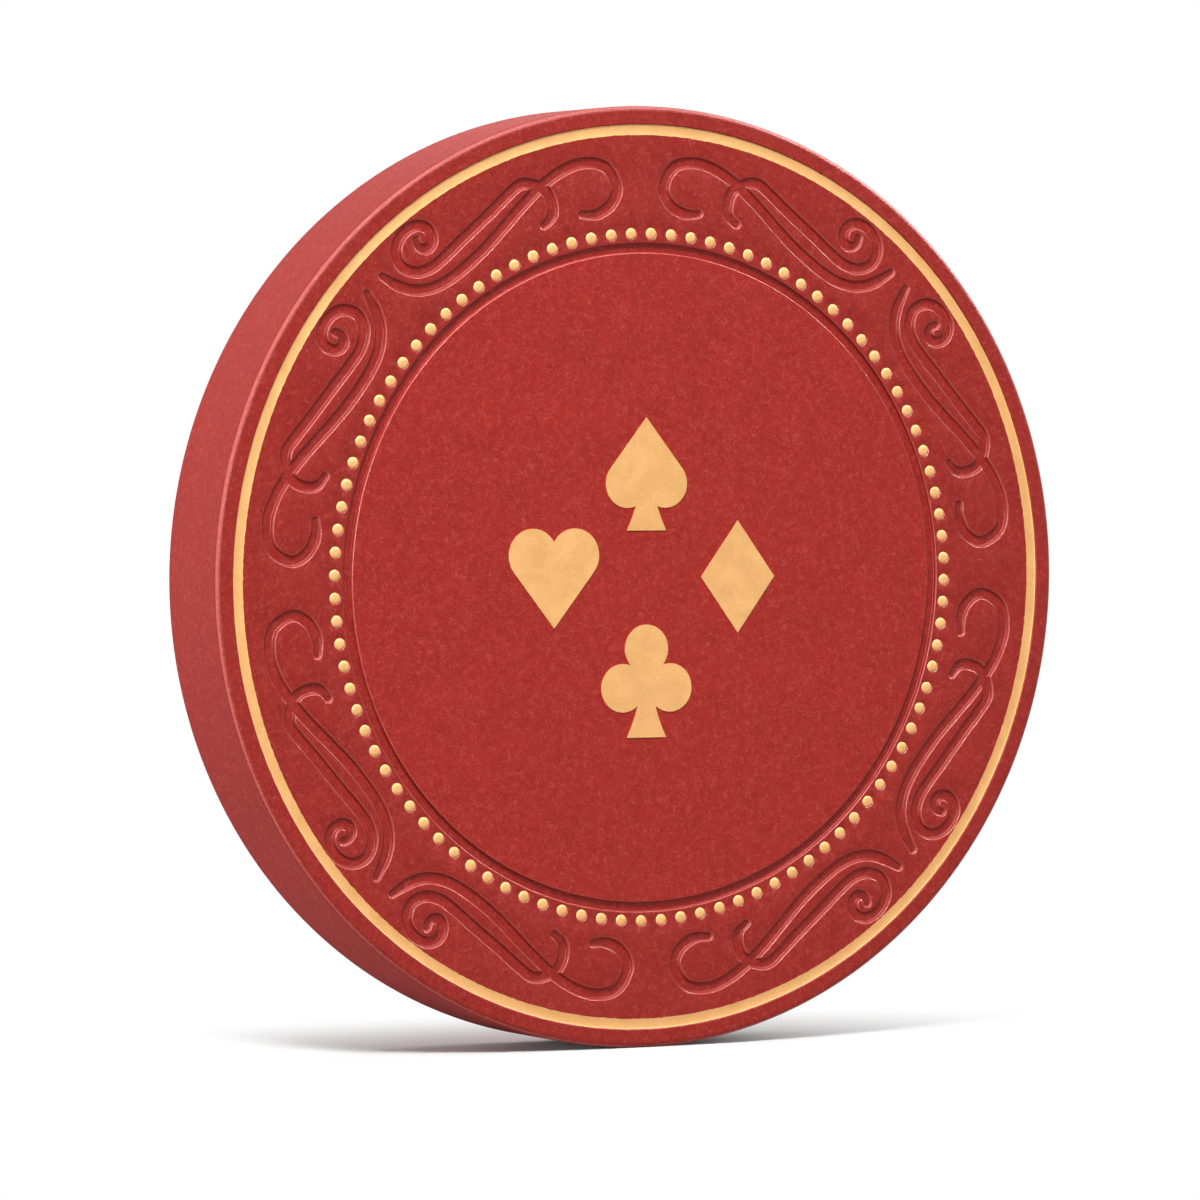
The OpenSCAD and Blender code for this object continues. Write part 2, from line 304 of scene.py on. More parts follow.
def triangulate(loops):
    """Points and triangles that fill the hull of some closed lines and keep each line as edges."""
    edges, start = [], 0
    for loop in loops:
        edges.append(loop_edges(len(loop), start))
        start += len(loop)
    flat = [Vector(p) for p in np.concatenate(loops).tolist()]
    made = delaunay_2d_cdt(flat, np.concatenate(edges).tolist(), [], 0, SAME_POINT, False)
    return np.array([tuple(p) for p in made[0]]), np.array(made[2])


def bead_middles(count, turn=0.0):
    """Middles of the first beads clockwise from the top, which lies between two of them.

    All are turned anticlockwise by the turn in degrees.
    """
    return bearing((np.arange(count) + 0.5) * BEAD_STEP - turn, BEAD_CIRCLE_R)


def sector():
    """The engraved band between the channel and the gold ring over one eighth of the face.

    Depth at a point is the greater of the strokes' depths and the bead dimple's. The mesh keeps
    the strokes' contour lines and the dimples' circles as edges, and is flat between them.
    """
    arc = np.linspace(0, 360 / SECTORS, SECTOR_COLUMNS + 1)
    side = np.linspace(BAND_EDGE_IN, BAND_EDGE_OUT, SIDE_STEPS + 1)[1:-1]
    border = np.concatenate([
        bearing(arc, BAND_EDGE_IN),
        bearing(arc[-1], side),
        bearing(arc[::-1], BAND_EDGE_OUT),
        bearing(0, side[::-1]),
    ])
    strokes = [Stroke(smooth_path(on_band(p))) for p in (HOOK_POINTS, TAIL_POINTS)]
    middles = bead_middles(SECTOR_BEADS)
    circle = around(DIMPLE_SIDES)
    points, faces = triangulate(
        [border]
        + [m + bearing(circle, r) for m in middles for r in DIMPLE_R[1:]]
        + [s.contour(level) for s in strokes for level in STROKE_LEVELS]
    )
    on_inner_edge = np.linalg.norm(points, axis=1) < BAND_EDGE_IN + SAME_EDGE
    faces = faces[~on_inner_edge[faces].all(axis=1)]
    depth = np.max([s.depth_at(points) for s in strokes], axis=0)
    away = np.linalg.norm(points[:, None] - middles, axis=2).min(axis=1)
    depth = np.maximum(depth, np.interp(away, DIMPLE_R, DIMPLE_SINK))
    return np.column_stack([points, FACE_W - depth]), faces


def engraved_band():
    """The sector, its mirror image and their quarter turns, as one list of points and triangles.

    All of them are turned together by the turn of the face.
    """
    points, faces = sector()
    mirrored = points * [-1, 1, 1]
    all_points, all_faces = [], []
    for quarter in range(SECTORS // 2):
        a = quarter * np.pi / 2 - math.radians(FACE_TURN)
        turn = np.array([[np.cos(a), -np.sin(a), 0], [np.sin(a), np.cos(a), 0], [0, 0, 1]])
        for p, f in ((points, faces), (mirrored, faces[:, ::-1])):
            all_faces.append(f + len(points) * len(all_points))
            all_points.append(p @ turn)
    return np.concatenate(all_points), np.concatenate(all_faces)


def revolve(section, columns=COLUMNS, closed=False):
    """Grid over angle and section: each section point (r, w) goes round the axis in columns.

    r may be an array over the columns. A closed section joins its last point to its first.
    """
    a = around(columns)
    rows = [
        np.column_stack([bearing(a, np.broadcast_to(r, columns)), np.broadcast_to(w, columns)])
        for r, w in section
    ]
    count = len(rows)
    i = np.arange(count if closed else count - 1)[:, None]
    j = np.arange(columns)[None, :]
    k, m = (j + 1) % columns, (i + 1) % count
    quads = np.stack([i * columns + j, i * columns + k, m * columns + k, m * columns + j], axis=-1)
    return np.concatenate(rows), quads.reshape(-1, 4)


def round_corner(middle, radius, start, end, steps):
    """Points on an arc round middle (r, w), from angle start to end in degrees."""
    a = np.radians(np.linspace(start, end, steps + 1))
    return [(middle[0] + radius * c, middle[1] + radius * s) for c, s in zip(np.cos(a), np.sin(a))]


def join(parts):
    """Several lists of points and faces as one, faces as a list of rows of any length."""
    points, faces, start = [], [], 0
    for p, f in parts:
        points.append(p)
        faces += (f + start).tolist()
        start += len(p)
    return np.concatenate(points), faces


def at_height(points, w):
    """Flat points lifted to one height."""
    return np.column_stack([points, np.full(len(points), w)])


def slug_seat():
    """Floor of the slug's pocket with a round peg standing up to the middle plane at each key hole.

    The disc is filled between the pocket's circle and the pegs' circles. What lies in a circle
    becomes that peg's flat end, and a strip joins the two.
    """
    rim = bearing(around(COLUMNS), SLUG_POCKET_R)
    keys = bearing(around(KEY_COUNT), KEY_CIRCLE_R)
    peg = bearing(around(PEG_SIDES), PEG_R)
    circles = [key + peg for key in keys]
    points, faces = triangulate([rim] + circles)
    middle = points[faces].mean(axis=1)
    in_peg = (np.linalg.norm(middle[:, None] - keys, axis=2) < PEG_R).any(axis=1)
    parts = [
        (at_height(points, SLUG_W), faces[~in_peg][:, ::-1]),
        (at_height(points, 0.0), faces[in_peg][:, ::-1]),
    ]
    i, k = loop_edges(PEG_SIDES).T
    strip = np.stack([i, k, k + PEG_SIDES, i + PEG_SIDES], axis=1)
    for c in circles:
        parts.append((np.concatenate([at_height(c, SLUG_W), at_height(c, 0.0)]), strip))
    return parts


def shell_points(joint):
    """A whole shell: engraved band, ring groove, border, rounded edge, rim, joint and inside.

    The band is joined to two surfaces of revolution at its edges, and the slug's seat closes it.
    """
    lip_r, lip_w = GROOVE_OUT + GROOVE_LIP_R, BORDER_W - GROOVE_LIP_R
    edge_r, edge_w = RIM_R - EDGE_R, BORDER_W - EDGE_R
    outer = (
        [(GROOVE_IN, FACE_W), (GROOVE_IN, RING_FLOOR_W), (GROOVE_OUT, RING_FLOOR_W)]
        + round_corner((lip_r, lip_w), GROOVE_LIP_R, 180, 90, LIP_STEPS)
        + [(lip_r + BESIDE_LIP, BORDER_W), (edge_r - BESIDE_EDGE, BORDER_W)]
        + round_corner((edge_r, edge_w), EDGE_R, 90, 0, EDGE_STEPS)
        + [(RIM_R, edge_w - BESIDE_EDGE), (RIM_R, BORDER_W / 2), (RIM_R, 0)]
        + joint
        + [(SLUG_POCKET_R, 0), (SLUG_POCKET_R, SLUG_W)]
    )
    pocket_r = INLAY_R + INLAY_CLEAR
    foot_r, foot_w = CHANNEL_WALL_R - CHANNEL_FOOT_R, CHANNEL_FLOOR_W + CHANNEL_FOOT_R
    brow_r, brow_w = CHANNEL_WALL_R + CHANNEL_LIP_R, FACE_W - CHANNEL_LIP_R
    inner = (
        [(0, POCKET_W), (pocket_r, POCKET_W), (pocket_r, CHANNEL_FLOOR_W)]
        + [(foot_r - BESIDE_LIP, CHANNEL_FLOOR_W)]
        + round_corner((foot_r, foot_w), CHANNEL_FOOT_R, 270, 360, LIP_STEPS)
        + round_corner((brow_r, brow_w), CHANNEL_LIP_R, 180, 90, LIP_STEPS)
        + [(BAND_EDGE_IN, FACE_W)]
    )
    return join([engraved_band(), revolve(outer), revolve(inner), *slug_seat()])


def link(thing):
    """Puts an object in the scene."""
    bpy.context.scene.collection.objects.link(thing)


def make_piece(name, points, faces, rear):
    """Writes points and faces as a mesh on its side of the chip, welded, with outward faces.

    The front takes (u, v, w) to (u, -w, rim radius + v), and the rear is that turned half round.
    """
    side = -1 if rear else 1
    world = np.column_stack([side * points[:, 0], -side * points[:, 2], RIM_R + points[:, 1]]) * MM
    mesh = bpy.data.meshes.new(name)
    mesh.from_pydata(world.tolist(), [], faces)
    work = bmesh.new()
    work.from_mesh(mesh)
    bmesh.ops.remove_doubles(work, verts=work.verts, dist=WELD)
    bmesh.ops.recalc_face_normals(work, faces=work.faces)
    work.to_mesh(mesh)
    work.free()
    mesh.shade_smooth()
    mesh.set_sharp_from_angle(angle=math.radians(SHARP_ANGLE))
    piece = bpy.data.objects.new(name, mesh)
    link(piece)
    return piece


def wandering(size, seed):
    """Uneven closed line: a sum of sine waves round the ring, of seeded counts and phases."""
    draw = np.random.default_rng(seed)
    a = np.arange(RING_COLUMNS) * 2 * np.pi / RING_COLUMNS
    counts = draw.integers(*WAVE_COUNTS, WAVES)[:, None]
    phase = draw.uniform(0, 2 * np.pi, WAVES)[:, None]
    return size * np.sin(counts * a + phase).sum(axis=0) * math.sqrt(2 / WAVES)


def gold_ring_points(seed):
    """Ring hollowed between its edges, whose foil laps over the groove's lips by uneven amounts.

    The hollow falls with one less the square of the distance from the middle of its breadth.
    """
    wander_in = wandering(WANDER_IN, seed)
    wander_out = wandering(WANDER_OUT, seed + 1)
    edge_in = RING_IN - LAP_IN + wander_in
    fold_in = RING_IN - LAP_IN_FOLD + wander_in / 2
    edge_out = RING_OUT + LAP_OUT + wander_out
    middle, half = (RING_IN + RING_OUT) / 2, RING_BREADTH / 2 + RING_CLEAR
    across = np.linspace(-1, 1, RING_ROWS)[1:-1]
    section = (
        [(RING_IN, RING_FLOOR_W)]
        + [(r, FACE_W + w) for r, w in zip((edge_in, edge_in, fold_in), FOLD_IN_W)]
        + [(middle + half * s, FACE_W - RING_DISH * (1 - s * s)) for s in across]
        + [(edge_out, FACE_W + w) for w in FOLD_OUT_W]
        + [(RING_OUT, RING_FLOOR_W)]
    )
    points, faces = revolve(section, RING_COLUMNS, closed=True)
    return points, faces.tolist()


def bead_points(seed):
    """Low domes on straight shanks, one in each dimple, over a grid of angle and radius.

    A dome falls from its middle with the fourth power of the radius. Each bead's breadth and height
    are a little smaller than the full size by seeded amounts.
    """
    draw = np.random.default_rng(seed)
    w = BEAD_TOP_W - BEAD_DOME * BEAD_CIRCLES**4
    w[0] = FACE_W - BEAD_SEAT
    one, quads = revolve(list(zip(BEAD_R * BEAD_CIRCLES, w)), BEAD_SIDES)
    middles = bead_middles(BEAD_COUNT, FACE_TURN)
    breadth = draw.uniform(*BEAD_BREADTHS, (BEAD_COUNT, 1))
    lower = draw.uniform(*BEAD_LOWERED, (BEAD_COUNT, 1))
    points = np.empty((BEAD_COUNT, len(one), 3))
    points[:, :, :2] = middles[:, None] + one[None, :, :2] * breadth[:, :, None]
    points[:, :, 2] = one[None, :, 2] - lower
    starts = np.arange(BEAD_COUNT)[:, None] * len(one)
    faces = (quads[None] + starts[:, :, None]).reshape(-1, 4).tolist()
    backs = (np.arange(BEAD_SIDES)[None, ::-1] + starts).tolist()
    return points.reshape(-1, 3), faces + backs


def inlay_points():
    """Disc with a rounded lip, revolved from the middle of its back to the middle of its face."""
    foot_r = INLAY_R + INLAY_FILL * INLAY_CLEAR
    lip_r, lip_w = INLAY_R - INLAY_LIP_R, FACE_W - INLAY_LIP_R
    section = (
        [(0, INLAY_BACK_W), (foot_r, INLAY_BACK_W), (foot_r, CHANNEL_FLOOR_W)]
        + [(INLAY_R, CHANNEL_FLOOR_W + INLAY_CLEAR)]
        + round_corner((lip_r, lip_w), INLAY_LIP_R, 0, 90, LIP_STEPS + 1)
        + [(lip_r - BESIDE_LIP, FACE_W), (INLAY_R / 2, FACE_W), (0, FACE_W)]
    )
    points, faces = revolve(section, INLAY_COLUMNS)
    return points, faces.tolist()


# Material helpers


def add(tree, kind, inputs=None, **settings):
    """Adds a node, sets its properties, and fills each named input with a value or a link."""
    made = tree.nodes.new(kind)
    for key, value in settings.items():
        setattr(made, key, value)
    for key, value in (inputs or {}).items():
        socket = made.inputs[key]
        if isinstance(value, bpy.types.NodeSocket):
            tree.links.new(value, socket)
        else:
            socket.default_value = value
    return made


def maths(tree, operation, *values):
    """A Math node's result."""
    return add(tree, "ShaderNodeMath", dict(enumerate(values)), operation=operation).outputs[0]


def vector_maths(tree, operation, *values):
    """A Vector Math node's resulting vector."""
    made = add(tree, "ShaderNodeVectorMath", dict(enumerate(values)), operation=operation)
    return made.outputs[0]


def ramp(tree, value, low, high, start=0.0, end=1.0):
    """Smooth change from start to end as value goes from low to high."""
    made = add(
        tree, "ShaderNodeMapRange",
        {"Value": value, "From Min": low, "From Max": high, "To Min": start, "To Max": end},
        interpolation_type="SMOOTHSTEP",
    )
    return made.outputs["Result"]


def noise(tree, at, scale, detail=2.0, roughness=0.5, distortion=0.0, shift=(0, 0, 0)):
    """Noise of a size at a place in millimetres."""
    made = add(tree, "ShaderNodeTexNoise", {
        "Vector": vector_maths(tree, "ADD", at, shift), "Scale": scale, "Detail": detail,
        "Roughness": roughness, "Distortion": distortion,
    })
    return made.outputs[0]


def blend_colour(tree, share, first, second, kind="MIX"):
    """Two colours mixed by a share."""
    inputs = {0: share, 6: first, 7: second}
    return add(tree, "ShaderNodeMix", inputs, data_type="RGBA", blend_type=kind).outputs[2]


def tone(red, green, blue):
    """A colour given in screen values from 0 to 255, as linear light."""
    c = np.array([red, green, blue]) / 255
    c = np.where(c <= 0.04045, c / 12.92, ((c + 0.055) / 1.055) ** 2.4)
    return (*c.tolist(), 1.0)


def tint(tree, colour, *layers):
    """A colour with layers over it, each of a mask, a share where the mask is 1, and a tone."""
    for mask, share, over in layers:
        colour = blend_colour(tree, maths(tree, "MULTIPLY", mask, share), colour, tone(*over))
    return colour


def new_material(name):
    """An empty node material, its tree, its shader, and Object coordinates in millimetres."""
    made = bpy.data.materials.new(name)
    made.use_nodes = True
    tree = made.node_tree
    shader = tree.nodes["Principled BSDF"]
    place = add(tree, "ShaderNodeTexCoord").outputs["Object"]
    scaled = add(tree, "ShaderNodeVectorMath", {0: place, "Scale": 1 / MM}, operation="SCALE")
    return made, tree, shader, scaled.outputs[0]


def cover(tree, shader, colour, roughness, height, strength, depth):
    """Links a shader's colour and roughness, and a bump from a height. Depth is in millimetres."""
    bump = add(
        tree, "ShaderNodeBump", {"Height": height, "Strength": strength, "Distance": depth * MM},
    )
    tree.links.new(colour, shader.inputs["Base Color"])
    tree.links.new(roughness, shader.inputs["Roughness"])
    tree.links.new(bump.outputs[0], shader.inputs["Normal"])


def fibres(tree, at, scale, width, shift):
    """Short curly fibres: lines where a twisted noise crosses its middle, broken by another."""
    field = noise(tree, at, scale, 1.0, 0.5, 1.6, shift)
    off = maths(tree, "ABSOLUTE", maths(tree, "SUBTRACT", field, 0.5))
    line = ramp(tree, off, 0.0, width, 1.0, 0.0)
    cut = noise(tree, at, scale * 1.3, 1.0, 0.5, 0.0, (shift[1], shift[2], shift[0]))
    return maths(tree, "MULTIPLY", line, ramp(tree, cut, 0.46, 0.58))


def specks(tree, at, scale, size, kept, shift):
    """Small round specks in some cells of a Voronoi pattern."""
    moved = vector_maths(tree, "ADD", at, shift)
    cells = add(tree, "ShaderNodeTexVoronoi", {"Vector": moved, "Scale": scale})
    dot = ramp(tree, cells.outputs["Distance"], size * 0.4, size, 1.0, 0.0)
    pick = add(tree, "ShaderNodeSeparateColor", {0: cells.outputs["Color"]}).outputs[0]
    return maths(tree, "MULTIPLY", dot, maths(tree, "GREATER_THAN", pick, 1 - kept))


# Places on a shell that look different: how far past the rounded edge's start its pale line of wear
# and painted highlight lies, how near the rim's radius the rim starts, and depths under the face
# where a layer starts and ends softly
EDGE_LINE_PAST = (0.085, 0.1)
RIM_WITHIN = (0.12, 0.02)
LIP_DEPTHS = (0.1, 0.07, 0.008, 0.002)
FOOT_DEPTHS = (0.156, 0.146, 0.11, 0.095)


def layer_under_face(tree, aside, depths):
    """1 in a layer under the face, which starts between two depths and ends between two others."""
    deep, full, fading, gone = (float(FACE_W) - d for d in depths)
    start = ramp(tree, aside, deep, full)
    return maths(tree, "MULTIPLY", start, ramp(tree, aside, fading, gone, 1.0, 0.0))


def red_composite(name, shade):
    """Pressed red composite: mottled, full of short fibres, with paler specks, a pale edge of wear
    and painted highlight, painted lip highlights, painted wall-foot shade and a painted rim sheen.
    """
    made, tree, shader, at = new_material(name)
    broad = noise(tree, at, 0.5, 3.0, 0.55)
    middling = noise(tree, at, 2.4, 3.0, 0.6, 0.4, (7.3, 1.9, 4.1))
    grain = noise(tree, at, 11.0, 2.0, 0.65, 0.0, (2.7, 8.1, 5.9))
    light_fibre = fibres(tree, at, 2.2, 0.05, (3.0, 11.0, 6.0))
    fine_fibre = fibres(tree, at, 3.3, 0.065, (14.0, 2.0, 9.0))
    faint_fibre = fibres(tree, at, 2.7, 0.06, (21.0, 8.0, 4.0))
    dark_fibre = fibres(tree, at, 3.0, 0.06, (5.0, 17.0, 1.0))
    bright = specks(tree, at, 1.9, 0.08, 0.35, (1.0, 4.0, 2.0))

    # Pale line on the rounded edge, partly wear and partly a painted highlight: how far a point is
    # past the corner's start, outwards and sideways
    x, y, z = add(tree, "ShaderNodeSeparateXYZ", {0: at}).outputs
    up = maths(tree, "SUBTRACT", z, float(RIM_R))
    squares = maths(tree, "ADD", maths(tree, "MULTIPLY", x, x), maths(tree, "MULTIPLY", up, up))
    radius = maths(tree, "SQRT", squares)
    aside = maths(tree, "ABSOLUTE", y)
    corner = float(RIM_R + BORDER_W - EDGE_R)
    edge_band = ramp(tree, maths(tree, "ADD", radius, aside), *(corner + d for d in EDGE_LINE_PAST))
    broken = ramp(tree, noise(tree, at, 8.0, 3.0, 0.7, 0.8, (9.0, 3.0, 12.0)), 0.38, 0.68)
    edge_wear_and_highlight = maths(tree, "MULTIPLY", edge_band, broken)

    # Lips of the engraving, smoother and painted paler as a highlight, and feet of its walls,
    # painted darker as shade
    lip_polish_and_highlight = layer_under_face(tree, aside, LIP_DEPTHS)
    painted_foot_shade = layer_under_face(tree, aside, FOOT_DEPTHS)

    # The rim is painted paler as a sheen, and is duller and more pitted than the pressed faces
    rim = ramp(tree, radius, *(float(RIM_R) - d for d in RIM_WITHIN))
    pits = maths(tree, "MULTIPLY", rim, ramp(tree, grain, 0.36, 0.58, 1.0, 0.0))

    mottle = ramp(tree, middling, 0.3, 0.7)
    colour = blend_colour(tree, mottle, tone(153, 24, 14), tone(164, 28, 17))
    colour = tint(
        tree, colour,
        (ramp(tree, broad, 0.35, 0.75), 0.5, (171, 32, 20)),
        (ramp(tree, grain, 0.42, 0.72), 0.5, (182, 48, 36)),
        (dark_fibre, 0.5, (130, 16, 9)),
        (fine_fibre, 0.36, (196, 68, 56)),
        (faint_fibre, 0.32, (192, 62, 50)),
        (light_fibre, 0.38, (204, 82, 70)),
        (bright, 0.4, (210, 108, 96)),
        # pale line along the edge: wear, and a painted highlight
        (edge_wear_and_highlight, 0.6, (218, 108, 102)),
        # every lip of the engraving is painted paler, as a highlight
        (lip_polish_and_highlight, 0.6, (222, 104, 92)),
        # the feet of the engraving's walls are painted darker, as shade
        (painted_foot_shade, 0.3, (96, 10, 6)),
        # the rim is painted paler, as a sheen
        (rim, 0.06, (206, 124, 126)),
        (pits, 0.16, (120, 14, 8)),
    )
    colour = blend_colour(tree, 1.0, colour, (shade, shade, shade, 1), "MULTIPLY")

    rough = ramp(tree, middling, 0.3, 0.7, 0.34, 0.42)
    rough = maths(tree, "MULTIPLY_ADD", rim, 0.5, rough)
    rough = maths(tree, "MULTIPLY_ADD", lip_polish_and_highlight, -0.16, rough)
    shader.inputs["Specular IOR Level"].default_value = 0.26

    height = maths(tree, "MULTIPLY", grain, 0.5)
    for layer, share in (
        (middling, 0.6), (light_fibre, 0.35), (fine_fibre, 0.25), (faint_fibre, 0.2),
        (dark_fibre, -0.25), (edge_wear_and_highlight, 0.5), (pits, -0.5),
    ):
        height = maths(tree, "MULTIPLY_ADD", layer, share, height)
    cover(tree, shader, colour, rough, height, strength=0.5, depth=0.02)
    return made


def gold_foil(name, rough_low, rough_high, relief):
    """Stamped gold foil: warm ochre with soft clouding, pale grain and a few thin spots."""
    made, tree, shader, at = new_material(name)
    cloud = noise(tree, at, 1.3, 3.0, 0.6, 0.5, (4.0, 2.0, 9.0))
    grain = noise(tree, at, 9.0, 2.0, 0.6, 0.0, (6.0, 1.0, 3.0))
    thin = specks(tree, at, 2.3, 0.1, 0.3, (8.0, 3.0, 5.0))
    clouding = ramp(tree, cloud, 0.3, 0.7)
    colour = blend_colour(tree, clouding, tone(225, 166, 97), tone(230, 173, 105))
    colour = tint(
        tree, colour,
        (ramp(tree, grain, 0.5, 0.8), 0.35, (252, 206, 142)),
        (thin, 0.35, (226, 150, 82)),
    )
    shader.inputs["Metallic"].default_value = 0.2
    rough = ramp(tree, cloud, 0.3, 0.7, rough_low, rough_high)
    height = maths(tree, "MULTIPLY_ADD", cloud, 0.8, grain)
    cover(tree, shader, colour, rough, height, strength=relief, depth=0.012)
    return made


def slug_steel():
    """Stamped steel sheet: fine rolling lines along one way, with oily clouds."""
    made, tree, shader, at = new_material("slug_steel")
    stretched = add(tree, "ShaderNodeMapping", {"Vector": at, "Scale": (0.12, 6.0, 6.0)})
    lines = noise(tree, stretched.outputs[0], 2.0, 4.0, 0.7)
    oil = noise(tree, at, 0.35, 3.0, 0.6, 0.6, (3.0, 7.0, 1.0))
    rolled = ramp(tree, lines, 0.3, 0.7)
    colour = blend_colour(tree, rolled, tone(150, 150, 153), tone(188, 188, 190))
    colour = tint(tree, colour, (ramp(tree, oil, 0.5, 0.75), 0.4, (128, 124, 118)))
    shader.inputs["Metallic"].default_value = 1.0
    rough = ramp(tree, oil, 0.3, 0.7, 0.24, 0.42)
    cover(tree, shader, colour, rough, lines, strength=0.3, depth=0.01)
    return made


def adhesive_film():
    """Milky transfer film: pale, slightly yellow, with soft clouds and small bubbles."""
    made, tree, shader, at = new_material("adhesive_film")
    cloud = noise(tree, at, 0.6, 4.0, 0.6)
    bubble = specks(tree, at, 1.2, 0.16, 0.4, (2.0, 5.0, 7.0))
    clouding = ramp(tree, cloud, 0.3, 0.7)
    colour = blend_colour(tree, clouding, tone(222, 214, 190), tone(238, 234, 218))
    colour = tint(tree, colour, (bubble, 0.6, (250, 248, 240)))
    rough = ramp(tree, cloud, 0.3, 0.7, 0.3, 0.45)
    cover(tree, shader, colour, rough, bubble, strength=0.4, depth=0.02)
    return made


# The pieces, on both sides of the chip

SHELL_RED = red_composite("shell_composite", shade=0.88)
INLAY_RED = red_composite("inlay_composite", shade=1.0)
RING_GOLD = gold_foil("ring_gold", rough_low=0.5, rough_high=0.62, relief=0.15)
BEAD_GOLD = gold_foil("bead_gold", rough_low=0.55, rough_high=0.68, relief=0.2)
PIP_GOLD = gold_foil("pip_gold", rough_low=0.45, rough_high=0.58, relief=0.12)
STEEL = slug_steel()
FILM = adhesive_film()

# The front shell's tongue and the rear shell's slot for it, as sections from outside in
tongue_in = SLUG_POCKET_R + TONGUE_WALL
tongue_out = tongue_in + TONGUE_BREADTH
slot_in, slot_out = tongue_in - TONGUE_CLEAR, tongue_out + TONGUE_CLEAR
slot_w = TONGUE_H + TONGUE_CLEAR
tongue = [(tongue_out, 0), (tongue_out, -TONGUE_H), (tongue_in, -TONGUE_H), (tongue_in, 0)]
slot = [(slot_out, 0), (slot_out, slot_w), (slot_in, slot_w), (slot_in, 0)]


def dress(name, made, material, node, rear):
    """Makes a piece, gives it its material, and lets it stand for its CAD node."""
    piece = make_piece(name, *made, rear)
    piece.data.materials.append(material)
    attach(piece, "root")
    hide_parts(node)


# Each side's name, whether it is the rear, its joint, and the seeds of its ring and beads
SIDES = [("front", False, tongue, 11, 16), ("rear", True, slot, 31, 36)]
for side, rear, joint, ring_seed, bead_seed in SIDES:
    for name, made, material, slot_name, node in (
        ("engraved_shell", shell_points(joint), SHELL_RED, "red_composite", "shell"),
        ("inlay_disc", inlay_points(), INLAY_RED, "red_composite", "inlay"),
        ("foiled_ring", gold_ring_points(ring_seed), RING_GOLD, "gold_foil", "gold_ring"),
        ("bead_row", bead_points(bead_seed), BEAD_GOLD, "gold_foil", "beads"),
    ):
        dress(f"{side}_{name}", made, material, f"{side}_{node}", rear)

# Finish of the CAD nodes that show as they are, by the last word of their name
NODE_FINISH = {
    "spade": PIP_GOLD, "heart": PIP_GOLD, "diamond": PIP_GOLD, "club": PIP_GOLD,
    "slug": STEEL, "adhesive": FILM,
}
for node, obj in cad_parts.items():
    finish = NODE_FINISH.get(node.split("_")[-1])
    if finish:
        obj.data.materials.clear()
        obj.data.materials.append(finish)

# Floor, light and camera

# Half the floor's side in metres, what it sends back to the chip, and its two whites to the eye
FLOOR_HALF = 3.0
FLOOR_BOUNCE = (0.34, 0.34, 0.34, 1)
FLOOR_WHITE = (0.84, 0.88, 0.88, 1)
FLOOR_CLOUD = (0.86, 0.9, 0.9, 1)
WHITE = (1, 1, 1, 1)

# The oval round the chip where the floor's shadow shows: shift of its middle, its stretch, and how
# far out the floor turns to plain white
OVAL_SHIFT = (4.0, 0.0, 0.0)
OVAL_STRETCH = (0.7, 1.3, 1.0)
OVAL_FADE = (3.0, 21.0)


def seen_directly(tree):
    """1 on rays from the camera, and on reflected and refracted ones."""
    path = add(tree, "ShaderNodeLightPath").outputs
    direct = maths(tree, "MAXIMUM", path["Is Camera Ray"], path["Is Glossy Ray"])
    return maths(tree, "MAXIMUM", direct, path["Is Transmission Ray"])


def floor_material():
    """Matt floor, white to the eye and in reflections, that sends less light back to the chip."""
    made, tree, shader, at = new_material("studio_floor")
    soft = noise(tree, at, 0.02, 3.0, 0.5)
    white = blend_colour(tree, ramp(tree, soft, 0.3, 0.7), FLOOR_WHITE, FLOOR_CLOUD)
    colour = blend_colour(tree, seen_directly(tree), FLOOR_BOUNCE, white)
    tree.links.new(colour, shader.inputs["Base Color"])
    shader.inputs["Roughness"].default_value = 0.9
    shader.inputs["Specular IOR Level"].default_value = 0.0
    moved = vector_maths(tree, "ADD", at, OVAL_SHIFT)
    oval = vector_maths(tree, "MULTIPLY", moved, OVAL_STRETCH)
    away = add(tree, "ShaderNodeVectorMath", {0: oval}, operation="LENGTH").outputs["Value"]
    glow = add(tree, "ShaderNodeEmission", {"Color": WHITE, "Strength": 1.0})
    share = maths(tree, "MULTIPLY", seen_directly(tree), ramp(tree, away, *OVAL_FADE))
    both = add(tree, "ShaderNodeMixShader", {0: share, 1: shader.outputs[0], 2: glow.outputs[0]})
    tree.links.new(both.outputs[0], tree.nodes["Material Output"].inputs["Surface"])
    return made


def make_floor():
    """A flat square under the chip, as a grid of one cell."""
    x = np.array([-1, 1, 1, -1]) * FLOOR_HALF
    y = np.array([-1, -1, 1, 1]) * FLOOR_HALF
    mesh = bpy.data.meshes.new("floor")
    mesh.from_pydata(np.column_stack([x, y, np.zeros(4)]).tolist(), [], [(0, 1, 2, 3)])
    floor = bpy.data.objects.new("floor", mesh)
    link(floor)
    mesh.materials.append(floor_material())


def make_world(level):
    """White to the eye and in reflections, and an even light of the given level otherwise."""
    world = bpy.data.worlds.new("studio")
    world.use_nodes = True
    bpy.context.scene.world = world
    tree = world.node_tree
    tree.nodes.clear()
    seen = add(tree, "ShaderNodeBackground", {"Color": WHITE, "Strength": 1.0}).outputs[0]
    cast = add(tree, "ShaderNodeBackground", {"Color": WHITE, "Strength": level}).outputs[0]
    both = add(tree, "ShaderNodeMixShader", {0: seen_directly(tree), 1: cast, 2: seen})
    add(tree, "ShaderNodeOutputWorld", {"Surface": both.outputs[0]})


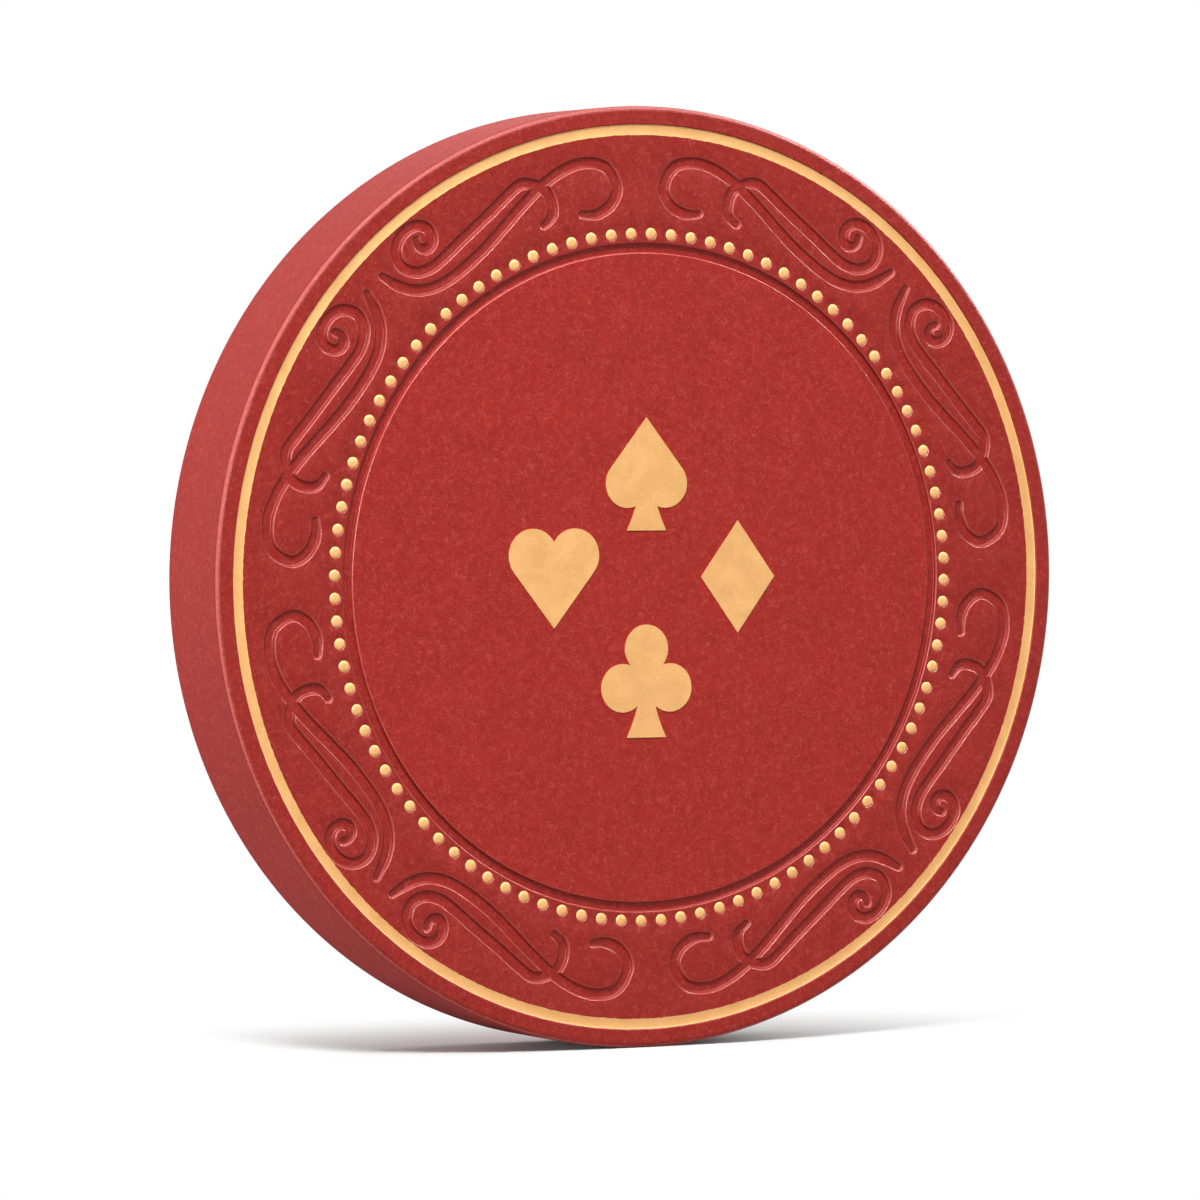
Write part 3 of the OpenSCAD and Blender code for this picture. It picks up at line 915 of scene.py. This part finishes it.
def aim(name, lamp, azimuth, elevation):
    """Holds a lamp so that it shines on the chip. Returns the holder and the way towards it.

    Azimuth 0 is straight in front of the chip, and positive is to the right.
    """
    holder = bpy.data.objects.new(name, lamp)
    a, e = math.radians(azimuth), math.radians(elevation)
    towards = Vector((math.sin(a) * math.cos(e), -math.cos(a) * math.cos(e), math.sin(e)))
    holder.rotation_mode = "QUATERNION"
    holder.rotation_quaternion = towards.to_track_quat("Z", "Y")
    link(holder)
    return holder, towards


def make_softbox(name, azimuth, elevation, away, level, breadth, height, gloss_only=False):
    """A broad lamp that faces the chip. Level is the light it gives there, 1 being plain white.

    A gloss-only one just shines on edges, and lights nothing else.
    """
    lamp = bpy.data.lights.new(name, "AREA")
    lamp.shape = "RECTANGLE"
    lamp.size, lamp.size_y = breadth * MM, height * MM
    lamp.energy = level * (math.pi * away * MM) ** 2
    holder, towards = aim(name, lamp, azimuth, elevation)
    holder.location = (Vector((0, 0, RIM_R)) + towards * away) * MM
    holder.visible_diffuse = not gloss_only
    holder.visible_camera = False


def make_sun(name, azimuth, elevation, level, spread):
    """A lamp far away. Spread is how broad it looks from the chip, in degrees."""
    lamp = bpy.data.lights.new(name, "SUN")
    lamp.energy = level * math.pi
    lamp.angle = math.radians(spread)
    aim(name, lamp, azimuth, elevation)


# The camera was fitted to the photograph: it turns about the middle of the chip's front face
CAMERA_YAW = 27.24
CAMERA_PITCH = 1.527
CAMERA_AWAY = 291.80
CAMERA_RIGHT = -1.963
CAMERA_UP = -0.955
CAMERA_LENS = 206.07
CAMERA_SENSOR = 36
CAMERA_CLIP = (0.01, 100)


def make_camera():
    """Camera to the left of the chip, a little above its middle, as the photograph was taken."""
    y, p = math.radians(CAMERA_YAW), math.radians(CAMERA_PITCH)
    right = Vector((math.cos(y), -math.sin(y), 0))
    back = Vector((-math.cos(p) * math.sin(y), -math.cos(p) * math.cos(y), math.sin(p)))
    up = back.cross(right)
    middle = Vector((0, -FACE_W, RIM_R))
    place = (middle + CAMERA_AWAY * back + CAMERA_RIGHT * right + CAMERA_UP * up) * MM
    data = bpy.data.cameras.new("camera")
    data.sensor_width = CAMERA_SENSOR
    data.lens = CAMERA_LENS
    data.clip_start, data.clip_end = CAMERA_CLIP
    camera = bpy.data.objects.new("camera", data)
    turn = Matrix((right, up, back)).transposed().to_4x4()
    camera.matrix_world = Matrix.Translation(place) @ turn
    link(camera)
    bpy.context.scene.camera = camera


WORLD_LEVEL = 0.24

# Name, azimuth, elevation, distance, level, breadth and height
SOFTBOXES = [
    ("key_softbox", -34, 49, 320, 1.08, 82, 82),
    ("low_fill", -100, -14, 58, 0.17, 24, 8),
]
GLOSS_STRIPS = [
    ("left_strip", -45, 14, 320, 1.6, 107, 160),
    ("top_strip", 8, 60, 320, 1.6, 249, 71),
    ("right_strip", 82, 37, 320, 1.6, 107, 120),
]

# Name, azimuth, elevation, level and spread
SUNS = [
    ("right_softbox", 100, 35, 0.3, 40),
    ("left_fill", -100, 3, 0.32, 30),
    ("front_fill", 0, 30, 0.06, 80),
    ("rear_fill", 165, 8, 0.4, 40),
]

make_floor()
make_world(WORLD_LEVEL)
for softbox in SOFTBOXES:
    make_softbox(*softbox)
for strip in GLOSS_STRIPS:
    make_softbox(*strip, gloss_only=True)
for sun in SUNS:
    make_sun(*sun)
make_camera()
bpy.context.scene.view_settings.view_transform = "Standard"
